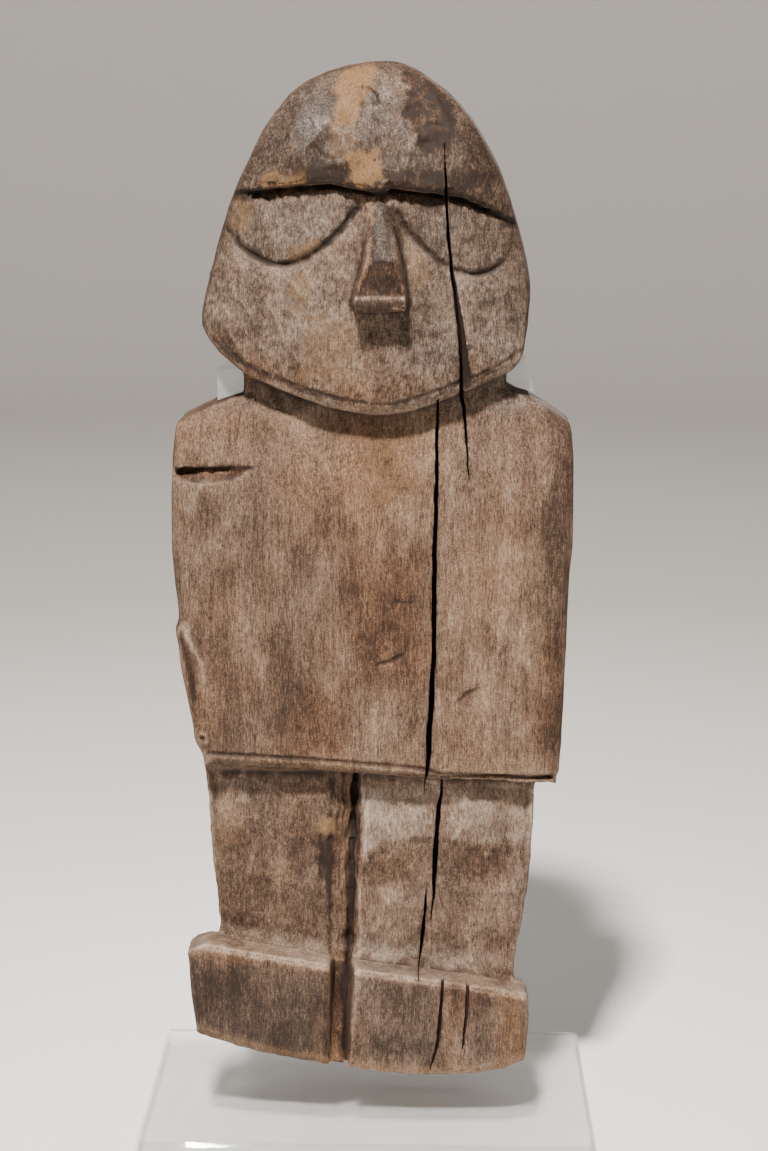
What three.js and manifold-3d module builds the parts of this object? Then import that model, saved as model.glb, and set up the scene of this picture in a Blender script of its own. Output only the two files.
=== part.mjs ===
// A carved wooden figure held up on a clear acrylic stand. Millimetres, +Z up, the figure faces -Y,
// and the origin is the middle of the stand's underside.
//
// The figure is one block of wood: a domed head with a brow ledge, half-moon eyes and a wedge nose,
// a tunic-like body, two legs parted by a groove, and block feet with a rocking underside. It can't
// stand by itself, so two clips glued to the stand's upright reach forward under its jaw.
import * as THREE from "three";
import { mergeVertices } from "three/addons/utils/BufferGeometryUtils.js";
import Module from "manifold-3d";

const wasm = await Module();
wasm.setup();

// ---- Driving dimensions ----

// The stand. All of it is one thickness of acrylic sheet.
const SHEET = 10;
const PLATE = { width: 230, depth: 150, bevel: 2 };
const UPRIGHT = { width: 90, middle: 5 };
const CLIP_REACH = 46; // how far the clips come forward of the upright
const GAP = 0.4; // left between pieces that touch

// The figure's own frame has its lowest point at height 0. It hangs this far above the plate.
const FLOAT = 22.7;
const FIGURE_Z = SHEET + FLOAT;

// Depths of the figure's faces. The front is towards -Y.
const FACE = -40;
const BROW = -43;
const NECK = -23;
const HEM = -34;
const LEGS = -25;
const FEET = -42;
const HEAD_BACK = 30;
const NECK_BACK = 22;
const BODY_BACK = 34;
const LEGS_BACK = 26;

// Heights on the figure.
const HEAD_TOP = 505.5;
const BROW_HEIGHT = 445;
const NOSE = { root: 441, tip: 394, base: 388.5, x: 5.7 };
const JAW_HEIGHT = 338;
const SHOULDER_HEIGHT = 334;
const HEM_HEIGHT = 155;
const FEET_HEIGHT = 58;

const EDGE_STEPS = 3; // facets in a rounded edge
const DEEP = 120; // more than the figure's thickness

// ---- Outlines, in the front view: x to the right, height up ----

// Each block of the figure has four sides, run round anticlockwise. A side is a smooth line from its
// first point, which is a corner of the block, to the first point of the next side.
const HEAD_SIDES = {
  bottom: [
    [-62, 357.5],
    [-45.5, 350],
    [-19, 341],
    [-2, JAW_HEIGHT],
    [14, 338.2],
    [46, 348.6],
  ],
  right: [
    [62, 355.5],
    [72.5, 361.5],
    [76, 378],
    [77.6, 398],
    [74.6, 416],
    [67.4, 439.5],
    [61, 456.6],
  ],
  top: [
    [50.3, 475.6],
    [41, 487],
    [30, 496],
    [19, 503.2],
    [8, HEAD_TOP],
    [-5, 504],
    [-22, 500],
    [-35, 493],
  ],
  left: [
    [-49.4, 475.6],
    [-58.8, 456.6],
    [-67, 438],
    [-74.2, 416.3],
    [-80.5, 391],
    [-81.8, 381],
    [-75.5, 369.5],
  ],
};

const NECK_SIDES = {
  bottom: [[-61.5, 322]],
  right: [[66.3, 322]],
  top: [[66.3, 372]],
  left: [[-61.5, 372]],
};

const BODY_SIDES = {
  bottom: [
    [-82, HEM_HEIGHT + 4.8],
    [-30, HEM_HEIGHT + 3.5],
    [30, HEM_HEIGHT - 1],
  ],
  right: [
    [94.9, HEM_HEIGHT - 4.3],
    [96.6, 180],
    [97.8, 215],
    [99.4, 255],
    [100.7, 285],
    [100.5, 316],
  ],
  top: [
    [98.6, SHOULDER_HEIGHT - 2],
    [85, 340],
    [66, 349.3],
    [10, 349],
    [-62, 344],
    [-81, 338.3],
  ],
  left: [
    [-95.5, SHOULDER_HEIGHT - 3],
    [-97.7, 303],
    [-97.3, 270],
    [-95, 240],
    [-90, 208],
    [-84.5, 178],
  ],
};

const LEGS_SIDES = {
  bottom: [
    [-71, 22],
    [-30, 12],
    [31, 4],
  ],
  right: [
    [70, 10],
    [72.5, 40],
    [78.3, 72],
    [82.6, 108],
    [84, 140],
  ],
  top: [[83.8, 170]],
  left: [
    [-83.5, 170],
    [-82.3, 145],
    [-79.5, 105],
    [-75.5, 68],
  ],
};

const FEET_SIDES = {
  bottom: [
    [-86.8, 20.3],
    [-60, 12.8],
    [-34, 7.8],
    [-11, 4.4],
    [15, 0.8],
    [34, 0],
    [58, 1.4],
    [73, 4],
  ],
  right: [
    [79.6, 8],
    [81.3, 25],
  ],
  top: [
    [80.6, 42.5],
    [40, 49.5],
    [0, FEET_HEIGHT - 3],
    [-45, FEET_HEIGHT + 4],
  ],
  left: [
    [-90.6, FEET_HEIGHT + 10.5],
    [-90, 45],
  ],
};

// ---- Depth of each face across the front view ----

const pair = ([x, z]) => new THREE.Vector2(x, z);
const ease = THREE.MathUtils.smoothstep;
// How far a face falls back at a distance from its middle line, reaching drop at half.
const fallOff = (distance, half, drop, power) =>
  drop * Math.pow(Math.abs(distance) / half, power);

const overBrow = (z) => Math.max(0, z - BROW_HEIGHT);
const faceFront = (x, z) =>
  FACE + fallOff(x - 2, 80, 12, 2.4) + 2.5 * ease(z, 395, 435) + fallOff(overBrow(z), 60, 20, 1.2);
const foreheadFront = (x, z) =>
  BROW + fallOff(x - 4, 72, 12, 2.3) + fallOff(overBrow(z), 60, 17, 2);
const headBack = (x, z) => HEAD_BACK - fallOff(x, 80, 10, 2.2) - fallOff(z - 415, 90, 9, 2);
const bodyFront = (x, z) => HEM + fallOff(x, 99, 5.5, 2.4) + 9 * ease(z, 285, 345);
const bodyBack = (x, z) => BODY_BACK - fallOff(x, 99, 7, 2.2) - 4 * ease(z, 300, 350);
const legsFront = (x) => LEGS + fallOff(x, 84, 3, 3);
const legsBack = (x) => LEGS_BACK - fallOff(x, 84, 5, 2.5);
const feetFront = (x) => FEET + fallOff(x, 90, 4, 3);

// ---- Solids ----

// The manifold solid of a closed geometry.
function solidOf(geometry) {
  const bare = new THREE.BufferGeometry();
  bare.setAttribute("position", geometry.getAttribute("position"));
  bare.setIndex(geometry.index);
  const merged = mergeVertices(bare, 1e-4);
  return new wasm.Manifold(
    new wasm.Mesh({
      numProp: 3,
      vertProperties: merged.attributes.position.array,
      triVerts: new Uint32Array(merged.index.array),
    }),
  );
}

// The three.js geometry of a manifold solid, flat shaded.
function geometryOf(solid) {
  const { vertProperties, triVerts } = solid.getMesh();
  const geometry = new THREE.BufferGeometry();
  geometry.setAttribute("position", new THREE.BufferAttribute(vertProperties, 3));
  geometry.setIndex(new THREE.BufferAttribute(triVerts, 1));
  const flat = geometry.toNonIndexed();
  flat.computeVertexNormals();
  return flat;
}

// The triangles between neighbouring rings of equally many points.
function walls(rings) {
  return rings.slice(1).flatMap((ring, r) =>
    ring.flatMap((point, i) => {
      const next = (i + 1) % ring.length;
      return [rings[r][i], point, ring[next], rings[r][i], ring[next], rings[r][next]];
    }),
  );
}

// A solid through rings that each run anticlockwise, seen from the first ring's end.
function loft(rings) {
  const cap = (ring) => {
    const sum = ring.reduce((total, point) => total.add(point), new THREE.Vector3());
    const middle = sum.divideScalar(ring.length);
    return ring.flatMap((point, i) => [middle, point, ring[(i + 1) % ring.length]]);
  };
  const triangles = [...cap(rings[0]), ...walls(rings), ...cap([...rings.at(-1)].reverse())];
  return solidOf(new THREE.BufferGeometry().setFromPoints(triangles));
}

// The point at shares u and v of the way across and up the space inside a ring of corners and sides.
function patchPoint(ring, across, up, i, j) {
  const at = (index) => ring[index % ring.length];
  const [u, v] = [i / across, j / up];
  const weights = [
    [at(i), 1 - v],
    [at(2 * across + up - i), v],
    [at(ring.length - j), 1 - u],
    [at(across + j), u],
    [at(0), -(1 - u) * (1 - v)],
    [at(across), -u * (1 - v)],
    [at(across + up), -u * v],
    [at(2 * across + up), -(1 - u) * v],
  ];
  return weights.reduce((sum, [point, weight]) => sum.addScaledVector(point, weight), pair([0, 0]));
}

// A block with four sides in the front view, made of across by up cells. front and back give the
// depth of its faces, and edge and backEdge the radius each face is rounded with at the sides.
function block({ sides, across, up, front, back, edge, backEdge }) {
  const runs = [sides.bottom, sides.right, sides.top, sides.left];
  const outline = runs.flatMap((run, side) => {
    const points = [...run, runs[(side + 1) % 4][0]].map(([x, z]) => new THREE.Vector3(x, z, 0));
    const curve = new THREE.CatmullRomCurve3(points);
    return curve.getSpacedPoints(side % 2 ? up : across).slice(0, -1);
  });
  const count = outline.length;
  const inwards = outline.map((point, i) => {
    const [before, after] = [outline[(i + count - 1) % count], outline[(i + 1) % count]];
    return pair([before.y - after.y, after.x - before.x]).normalize();
  });
  const inset = (i, distance) => pair([outline[i].x, outline[i].y]).addScaledVector(inwards[i], distance);
  const onFace = (face, { x, y: z }) => new THREE.Vector3(x, face(x, z), z);

  const rounded = (face, radiusAt, side, turn) =>
    outline.map(({ x, y: z }, i) => {
      const radius = radiusAt(x, z);
      const point = onFace(face, inset(i, radius * (1 - Math.cos(turn))));
      point.y -= side * radius * (1 - Math.sin(turn));
      return point;
    });
  const turns = Array.from({ length: EDGE_STEPS + 1 }, (_, step) => (Math.PI / 2) * (1 - step / EDGE_STEPS));
  const rings = [
    ...turns.map((turn) => rounded(front, edge, -1, turn)),
    ...turns.map((turn) => rounded(back, backEdge, 1, turn)).reverse(),
  ];

  const patch = (face, radiusAt, order) => {
    const ring = outline.map(({ x, y: z }, i) => inset(i, radiusAt(x, z)));
    const at = (i, j) => onFace(face, patchPoint(ring, across, up, i, j));
    const cells = Array.from({ length: across * up }, (_, k) => [k % across, Math.floor(k / across)]);
    return cells.flatMap(([i, j]) => {
      const corners = [at(i, j), at(i + 1, j), at(i + 1, j + 1), at(i, j + 1)];
      return order.map((corner) => corners[corner]);
    });
  };
  const triangles = [
    ...patch(front, edge, [0, 1, 2, 0, 2, 3]),
    ...walls(rings),
    ...patch(back, backEdge, [0, 2, 1, 0, 3, 2]),
  ];
  return solidOf(new THREE.BufferGeometry().setFromPoints(triangles));
}

// A prism with a front-view outline, from one depth to another.
function prism(points, from, to) {
  const geometry = new THREE.ExtrudeGeometry(new THREE.Shape(points.map(pair)), {
    depth: to - from,
    bevelEnabled: false,
  });
  return solidOf(geometry.rotateX(Math.PI / 2).translate(0, to, 0));
}

// ---- The figure ----

// The forehead stands proud above this line, which arches over the left eye and dips past the right.
// Under it the face is cut straight in, and a band of the third number's height slopes back out.
const BROW_LINE = [
  [-90, 438, 2],
  [-63, 443.3, 3.5],
  [-45, 446.3, 6],
  [-30, 448, 4.5],
  [-17, 448.6, 4],
  [-1, 445.2, 3],
  [6, 444.5, 3],
  [11, 447, 5.5],
  [22, 445.3, 7.3],
  [36, 443.8, 7],
  [45, 442.4, 5],
  [56, 437.2, 2.5],
  [68, 430.6, 1],
  [90, 419, 1],
];
const BROW_CUT = 3.8; // how deep the cut is

// Each eye is the half-moon between the brow ledge and a groove cut round it.
const EYE_GROOVE = 2; // radius of the groove
const EYES = [
  [
    [-70, 428],
    [-60.5, 417],
    [-45, 409.6],
    [-30, 413],
    [-16.2, 423.2],
    [-5, 437],
  ],
  [
    [13, 435],
    [21, 423],
    [35, 410.5],
    [51, 405.2],
    [64, 410],
    [69.5, 420],
  ],
];

function eyeGroove(points) {
  const path = new THREE.CatmullRomCurve3(
    points.map(([x, z]) => new THREE.Vector3(x, faceFront(x, z), z)),
  );
  const section = new THREE.Shape().absarc(0, 0, EYE_GROOVE, 0, 2 * Math.PI);
  return solidOf(
    new THREE.ExtrudeGeometry(section, { extrudePath: path, steps: 16, curveSegments: 3 }),
  );
}

// A wedge with a narrow ridge, hollowed at its tip over a thin lip.
function nose() {
  const stations = [
    { z: NOSE.root + 5, ridge: 3, base: 5, out: 0.5, shift: 0 },
    { z: NOSE.root - 3, ridge: 5, base: 9, out: 3, shift: 0.8 },
    { z: 425, ridge: 9.5, base: 15, out: 7, shift: 0.8 },
    { z: 411, ridge: 12.5, base: 20, out: 12.5, shift: 0.8 },
    { z: 403, ridge: 17, base: 23, out: 11.3, shift: 0.8 },
    { z: NOSE.tip, ridge: 23, base: 26, out: 10.3, shift: 0 },
    { z: NOSE.tip - 2, ridge: 23.5, base: 26.5, out: 12.5, shift: 0 },
    { z: NOSE.base, ridge: 23, base: 26, out: 12, shift: 0 },
  ];
  const buried = FACE + 14;
  return loft(
    stations.map(({ z, ridge, base, out, shift }) => {
      const surface = faceFront(NOSE.x, z);
      return [
        [-base / 2, buried],
        [-base / 2, surface - 0.3],
        [shift - ridge / 2, surface - out],
        [shift + ridge / 2, surface - out],
        [base / 2, surface - 0.3],
        [base / 2, buried],
      ].map(([x, y]) => new THREE.Vector3(NOSE.x + x, y, z));
    }),
  );
}

// The cut under the forehead. It follows the face round to the sides.
function browCut() {
  return loft(
    [...BROW_LINE].reverse().map(([x, z, band]) => {
      const surface = faceFront(x, z - band) + 12 * ease(Math.abs(x), 60, 78);
      const out = 14;
      return [
        [surface - out, z + 2],
        [surface - out, z - band * (1 + out / BROW_CUT)],
        [surface + BROW_CUT, z],
        [surface + BROW_CUT, z + 2],
      ].map(([y, height]) => new THREE.Vector3(x, y, height));
    }),
  );
}

function head() {
  const shape = {
    sides: HEAD_SIDES,
    across: 18,
    up: 18,
    // The jaw keeps a tight edge, and the cheeks and the dome turn slowly into the sides.
    edge: (x, z) => 5 + 9 * ease(z, 366, 405),
  };
  const aboveBrow = prism([...BROW_LINE, [90, 520], [-90, 520]], -DEEP, HEAD_BACK);
  const face = block({ ...shape, front: faceFront, back: headBack, backEdge: () => 22 });
  const forehead = block({ ...shape, front: foreheadFront, back: () => 4, backEdge: () => 16 });
  return face
    .subtract(wasm.Manifold.union([...EYES.map(eyeGroove), browCut()]))
    .add(forehead.intersect(aboveBrow))
    .add(nose());
}

function neck() {
  return block({
    sides: NECK_SIDES,
    across: 4,
    up: 2,
    front: () => NECK,
    back: () => NECK_BACK,
    edge: () => 8,
    backEdge: () => 8,
  });
}

// What is left of an arm, raised along the body's left edge: a worn ridge that ends in a knob.
const ARM = [
  { x: -92.5, y: -22, z: 231, across: 2, deep: 4 },
  { x: -91, y: -23, z: 225, across: 4, deep: 8 },
  { x: -88.8, y: -24, z: 208, across: 4.6, deep: 9 },
  { x: -86.2, y: -24, z: 190, across: 4, deep: 9 },
  { x: -84.2, y: -23, z: 178, across: 3.6, deep: 8 },
  { x: -83.6, y: -23, z: 172, across: 4.2, deep: 8 },
  { x: -83.2, y: -22, z: 167, across: 2, deep: 4 },
];

function arm() {
  const sides = 10;
  return loft(
    ARM.map(({ x, y, z, across, deep }) =>
      Array.from({ length: sides }, (_, i) => {
        const turn = (2 * Math.PI * i) / sides;
        return new THREE.Vector3(x + across * Math.cos(turn), y + deep * Math.sin(turn), z);
      }),
    ),
  );
}

// A chopped slot below the left shoulder, steep above and sloping out below, running out to a point.
function shoulderCut() {
  const stations = [
    { x: -61, top: 311, height: 1, depth: 0.6 },
    { x: -70, top: 310.5, height: 5, depth: 4.5 },
    { x: -90, top: 310, height: 6, depth: 6 },
    { x: -99, top: 308.5, height: 5, depth: 7 },
  ];
  return loft(
    stations.map(({ x, top, height, depth }) => {
      const surface = bodyFront(x, top);
      return [
        [surface - 6, top + 0.5],
        [surface - 6, top - height - 4],
        [surface, top - height],
        [surface + depth, top - 1.5],
        [surface + depth * 0.8, top],
      ].map(([y, z]) => new THREE.Vector3(x, y, z));
    }),
  );
}

function body() {
  return block({
    sides: BODY_SIDES,
    across: 20,
    up: 18,
    front: bodyFront,
    back: bodyBack,
    edge: (x, z) => 3 + 4 * ease(z, 170, 200),
    backEdge: () => 9,
  })
    .add(arm())
    .subtract(shoulderCut());
}

// The groove between the legs and the feet. From its left edge it steps in to a strip that slopes to a
// deeper slit beside a steep wall. edge and strip are the depths of the strip's left and right sides.
const GROOVE = [
  { z: HEM_HEIGHT, left: -17.5, right: -2, front: LEGS, edge: -24, strip: -18, slit: -7, bottom: -10 },
  { z: 100, left: -19.5, right: -4.8, front: LEGS, edge: -23.5, strip: -19, slit: -9, bottom: -13 },
  { z: 62, left: -19.5, right: -4.8, front: LEGS, edge: -23.5, strip: -19.5, slit: -9.8, bottom: -14 },
  { z: 56, left: -20, right: -5, front: FEET, edge: -26, strip: -22, slit: -10.2, bottom: -16 },
  { z: 30, left: -20.5, right: -7, front: FEET, edge: -34, strip: -31, slit: -10.8, bottom: -26 },
  { z: -5, left: -21, right: -8.8, front: FEET, edge: -40, strip: -38, slit: -11, bottom: -33 },
];
const GROOVE_STEP = 10;
const SLIT_WIDTH = 1.4;
const BACK_GROOVE = { left: -16, right: -5, bottom: LEGS_BACK - 7 };

function legGroove() {
  const sections = GROOVE.map(({ z, left, right, front, edge, strip, slit, bottom }) =>
    [
      [left, -DEEP],
      [right, -DEEP],
      [right, front - 1.5],
      [slit, bottom],
      [slit - SLIT_WIDTH, strip],
      [left + 1.5, edge],
      [left, front - 1.5],
    ].map(([x, y]) => new THREE.Vector3(x, y, z)),
  );
  const front = sections.flatMap((section, s) => {
    if (s === 0) return [section];
    const steps = Math.ceil((sections[s - 1][0].z - section[0].z) / GROOVE_STEP);
    return Array.from({ length: steps }, (_, step) =>
      section.map((point, i) => sections[s - 1][i].clone().lerp(point, (step + 1) / steps)),
    );
  });
  const { left, right, bottom } = BACK_GROOVE;
  const back = [HEM_HEIGHT, -5].map((z) =>
    [
      [left, DEEP],
      [left, LEGS_BACK + 2],
      [(left + right) / 2, bottom],
      [right, LEGS_BACK + 2],
      [right, DEEP],
    ].map(([x, y]) => new THREE.Vector3(x, y, z)),
  );
  return loft(front).add(loft(back));
}

function legs() {
  return block({
    sides: LEGS_SIDES,
    across: 10,
    up: 10,
    front: legsFront,
    back: legsBack,
    edge: () => 4,
    backEdge: () => 8,
  });
}

// The feet are a ledge in front of the legs that dies away round their sides.
function feet() {
  return block({
    sides: FEET_SIDES,
    across: 16,
    up: 5,
    front: feetFront,
    back: () => 0,
    edge: () => 1.8,
    backEdge: (x, z) => 5 + 16 * ease(z, 22, 42),
  });
}

// Drying cracks, as lines of [x, z, width], cut straight back from the front to a depth.
const CRACKS = [
  {
    to: -14,
    line: [
      [36, 465, 0.6],
      [36.6, 446, 1.2],
      [38.4, 417, 1.4],
      [41.4, 393, 1.4],
      [44, 372, 1.4],
      [45.2, 345, 2],
      [46.8, 334, 1.7],
      [48.3, 312, 0.7],
    ],
  },
  {
    to: FACE + 3,
    line: [
      [39, 412, 0.8],
      [43.6, 384, 4],
      [47.3, 352, 5.4],
      [47.6, 340, 5.4],
    ],
  },
  {
    to: -4,
    line: [
      [33.8, 345, 1],
      [33.2, 305, 2],
      [32.6, 250, 2.5],
      [31.6, 196, 2.8],
      [29, 150, 1.6],
    ],
  },
  {
    to: -6,
    line: [
      [36.7, 158, 1],
      [36, 136, 2.2],
      [34, 109, 3],
      [33.2, 88, 1.3],
      [31.6, 75, 0.4],
    ],
  },
  {
    to: -6,
    line: [
      [29.9, 96, 0.4],
      [28.1, 72, 2],
      [25.8, 50, 0.6],
    ],
  },
  {
    to: FEET + 3.5,
    line: [
      [38.6, 52, 2],
      [36.7, 24, 2.4],
      [33, -4, 1],
    ],
  },
  {
    to: FEET + 3,
    line: [
      [51.2, 50, 2],
      [50, 30, 1.8],
      [48.4, 13, 0.5],
    ],
  },
];

function crack({ line, to }) {
  const left = line.map(([x, z, width]) => [x - width / 2, z]);
  const right = line.map(([x, z, width]) => [x + width / 2, z]).reverse();
  return prism([...left, ...right], -DEEP, to);
}

function figure() {
  return wasm.Manifold.union([head(), neck(), body(), legs(), feet()])
    .subtract(legGroove())
    .subtract(wasm.Manifold.union(CRACKS.map(crack)));
}

// ---- The stand ----

const UPRIGHT_FRONT = BODY_BACK + GAP;
const CROSSBAR = { left: -75.3, right: 78, bottom: 336, top: 357 };

function basePlate() {
  const { width, depth, bevel } = PLATE;
  const half = { x: width / 2 - bevel, y: depth / 2 - bevel };
  const outline = new THREE.Shape([
    pair([-half.x, -half.y]),
    pair([half.x, -half.y]),
    pair([half.x, half.y]),
    pair([-half.x, half.y]),
  ]);
  const geometry = new THREE.ExtrudeGeometry(outline, {
    depth: SHEET - 2 * bevel,
    bevelSize: bevel,
    bevelThickness: bevel,
    bevelSegments: 1,
  });
  return solidOf(geometry.translate(0, 0, bevel));
}

// A strip that rises behind the figure and widens into a crossbar behind its neck.
function upright() {
  const left = UPRIGHT.middle - UPRIGHT.width / 2;
  const right = UPRIGHT.middle + UPRIGHT.width / 2;
  const { bottom, top } = CROSSBAR;
  const outline = [
    [left, GAP - FLOAT],
    [right, GAP - FLOAT],
    [right, bottom],
    [CROSSBAR.right, bottom],
    [CROSSBAR.right, top],
    [CROSSBAR.left, top],
    [CROSSBAR.left, bottom],
    [left, bottom],
  ];
  return prism(outline, UPRIGHT_FRONT, UPRIGHT_FRONT + SHEET);
}

// Each clip is cut to fill the notch between the jaw and the shoulder beside the neck.
const CLIPS = {
  left_clip: [
    [-75.3, 341.5],
    [-62.2, 346],
    [-62.2, 356.8],
    [-75.3, 356.8],
  ],
  right_clip: [
    [72, 348.8],
    [81, 346.3],
    [76.8, 363],
    [75.8, 363],
    [74, 360.2],
    [67.4, 356.2],
    [67.4, 351.5],
  ],
};

function clip(outline) {
  return prism(outline, UPRIGHT_FRONT - CLIP_REACH, UPRIGHT_FRONT - GAP);
}

// ---- The scene ----

const wood = new THREE.MeshStandardMaterial({ color: 0x8a6f59, roughness: 0.8, metalness: 0 });
const acrylic = new THREE.MeshStandardMaterial({
  color: 0xf2f5f4,
  roughness: 0.05,
  metalness: 0,
  transparent: true,
  opacity: 0.3,
});

function piece(name, solid, material) {
  const mesh = new THREE.Mesh(geometryOf(solid), material);
  mesh.name = name;
  return mesh;
}

const object = new THREE.Group();
const raised = new THREE.Group(); // the figure's own frame
raised.position.z = FIGURE_Z;
raised.add(piece("figure", figure(), wood));
raised.add(piece("upright", upright(), acrylic));
for (const [name, outline] of Object.entries(CLIPS)) raised.add(piece(name, clip(outline), acrylic));
object.add(raised, piece("base_plate", basePlate(), acrylic));

export default object;
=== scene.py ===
# A carved wooden figure on a clear acrylic stand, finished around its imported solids.
#
# The figure's solid is turned into a fine even mesh, worn, carved and cracked in code, and dressed in
# old dry wood. Sizes in this script are millimetres in the figure's own frame, whose height 0 is the
# figure's lowest point. Blender's are metres above the stand's underside.
from itertools import product
from math import cos, radians, sin

import bpy
import numpy as np
from mathutils import Matrix, Vector


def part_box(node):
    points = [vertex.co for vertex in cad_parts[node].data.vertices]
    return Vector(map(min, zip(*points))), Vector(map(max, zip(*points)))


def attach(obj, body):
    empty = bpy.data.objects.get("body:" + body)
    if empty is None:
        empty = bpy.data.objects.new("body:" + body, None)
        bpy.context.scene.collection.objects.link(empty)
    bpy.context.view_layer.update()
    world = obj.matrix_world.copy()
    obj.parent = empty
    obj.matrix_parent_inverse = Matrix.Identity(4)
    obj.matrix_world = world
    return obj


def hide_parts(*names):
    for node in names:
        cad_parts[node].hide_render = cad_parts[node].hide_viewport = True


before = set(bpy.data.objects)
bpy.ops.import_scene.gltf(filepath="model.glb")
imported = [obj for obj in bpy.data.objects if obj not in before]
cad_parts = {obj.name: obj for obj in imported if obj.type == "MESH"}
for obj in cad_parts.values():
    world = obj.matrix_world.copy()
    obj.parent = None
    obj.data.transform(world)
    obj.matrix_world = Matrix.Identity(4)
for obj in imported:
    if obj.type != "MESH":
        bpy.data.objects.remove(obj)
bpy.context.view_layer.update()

MM = 0.001
FIGURE_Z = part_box("figure")[0].z / MM
DEEP = 120  # more than the figure's thickness
WALL = 4.2  # from the stand's middle to the wall around it, in metres

# ---- The figure's features, in the front view: x to the right, height z up ----

HEM = 155
JAW = 338
BROW = 446

# The forehead stands proud above this line of (x, z, height). Under it the face is cut in, and a band
# of that height slopes back out to the tops of the eyes.
BROW_LINE = [
    (-90, 438, 2), (-63, 443.3, 3.5), (-45, 446.3, 6), (-30, 448, 4.5), (-17, 448.6, 4), (-1, 445.2, 3),
    (6, 444.5, 3), (11, 447, 5.5), (22, 445.3, 7.3), (36, 443.8, 7), (45, 442.4, 5), (56, 437.2, 2.5),
    (68, 430.6, 1), (90, 419, 1),
]
BROW_BAND = [(x, z) for x, z, _ in BROW_LINE] + [(x, z - tall) for x, z, tall in reversed(BROW_LINE)]

# Grooves round the eyes.
EYES = [
    [(-70, 428), (-60.5, 417), (-45, 409.6), (-30, 413), (-16.2, 423.2), (-5, 437)],
    [(13, 435), (21, 423), (35, 410.5), (51, 405.2), (64, 410), (69.5, 420)],
]

# The nose's ridge, its lit left side, the hollow at its tip, and the lines at its foot.
NOSE_RIDGE = [(4.5, 441), (8.6, 440), (12.3, 425), (13.6, 411), (1, 411), (1.9, 425)]
NOSE_SIDE = [(1.5, 432), (1, 411), (-6.2, 395.5), (-8, 391), (-5, 404), (-1.6, 419)]
NOSE_TIP = [(0.2, 411.5), (14.4, 411.5), (19, 395.5), (-8, 394.8)]
NOSE_FOOT = [
    [(1.5, 428), (-1.4, 419), (-4.6, 405.6), (-8.2, 396), (-8.4, 390)],
    [(9.9, 436.6), (15.2, 421.9), (17.7, 410.1), (19.2, 396)],
]

# A chopped cut below the left shoulder: its outline, and a splinter left along its middle.
SHOULDER_CUT = [
    (-97, 305), (-93, 308.5), (-89.6, 309.6), (-82.7, 309.9), (-77, 309.4), (-70.4, 309.6), (-64, 310),
    (-57.5, 310.3), (-62, 307.3), (-67.7, 304.4), (-72.5, 303.7), (-79.4, 303.2), (-86.3, 303.2), (-91, 304),
]
SPLINTER = [(-87, 307.3), (-79.3, 307.9), (-72.5, 307.4), (-67, 308)]

# The worn arm: the lit edge of its top, the shaded strip outside that, and the knob at its end.
ARM_EDGE = [(-94.6, 226), (-93.6, 229.6), (-92, 231), (-90.3, 227.7), (-87.5, 221), (-84.7, 216),
            (-82.9, 211), (-82.5, 205), (-82.3, 199)]
ARM_SHADE = [(-93.6, 226), (-91.6, 218), (-89.8, 212.6), (-88.4, 205.8), (-86.8, 195)]
ARM_FOLD = [(-89, 229), (-85.6, 220.5), (-82, 213.5)]
KNOB = (-83.4, 173.4)

# Cracks as lines of (x, z, width), cut straight back from the front to the depth y = to.
CRACKS = [
    {"to": -14, "lean": 0.14, "line": [
        (36, 466, 0.4), (36.6, 446, 1.2), (38.4, 417, 1.4), (41.4, 393, 1.4), (44, 372, 1.4),
        (45.2, 345, 2), (46.6, 337.5, 1.7), (47.7, 326, 1), (48.3, 312, 0.7), (49.3, 303.7, 0.3)]},
    {"to": -33.5, "lean": 0.14, "line": [
        (39.4, 411, 0.6), (41.6, 398, 1.8), (43.6, 384, 3.2), (45.6, 366, 4.4), (47.4, 352, 5),
        (47.6, 341, 5)]},
    {"to": -4, "lean": 0.03, "line": [
        (33.8, 345, 0.8), (33.2, 320.6, 1.7), (33.3, 304, 1.9), (32.9, 281, 2.2), (32.6, 250, 2.4),
        (32.7, 227.5, 2.3), (31.6, 196, 2.7), (30.7, 180.6, 2.8), (30.2, 164.6, 2.5),
        (29.2, 155.3, 1.6), (28, 148.8, 0.6), (28, 141, 0.3)]},
    {"to": -6, "lean": 0.03, "line": [
        (36.9, 153, 0.8), (36.7, 148.4, 1), (36.5, 141, 1.9), (34.7, 125, 2.4), (34, 109, 2.9),
        (33.3, 98.8, 2.3), (33.2, 88, 1.2), (31.6, 75, 0.3)]},
    {"to": -6, "lean": 0.03, "line": [
        (29.9, 96.4, 0.3), (28.8, 82.4, 1.5), (28.1, 71.7, 2), (27.1, 60.9, 1.5), (25.8, 50, 0.5)]},
    {"to": -37.5, "lean": 0.03, "line": [
        (38.3, 51, 1.6), (37.7, 40.5, 1.5), (36.7, 24.4, 2.2), (35.2, 13.7, 1.5), (31.6, 1, 0.6)]},
    {"to": -38.5, "lean": 0.03, "line": [
        (50.9, 49, 1.6), (50.5, 35.8, 1.8), (49.8, 27.8, 1.5), (48.9, 19.2, 1), (48.4, 12.7, 0.3)]},
]

# The worn strip between the legs and feet, where the grain has opened into fibres.
SPLIT = [(-9.5, 156), (-11, 110), (-12, 70), (-14, 30), (-15.5, 0)]
SLIT = [(-7, 155), (-5.6, 126), (-7, 107), (-8, 88), (-9.6, 69), (-10.4, 50), (-10.8, 25), (-11, 0)]

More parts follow.
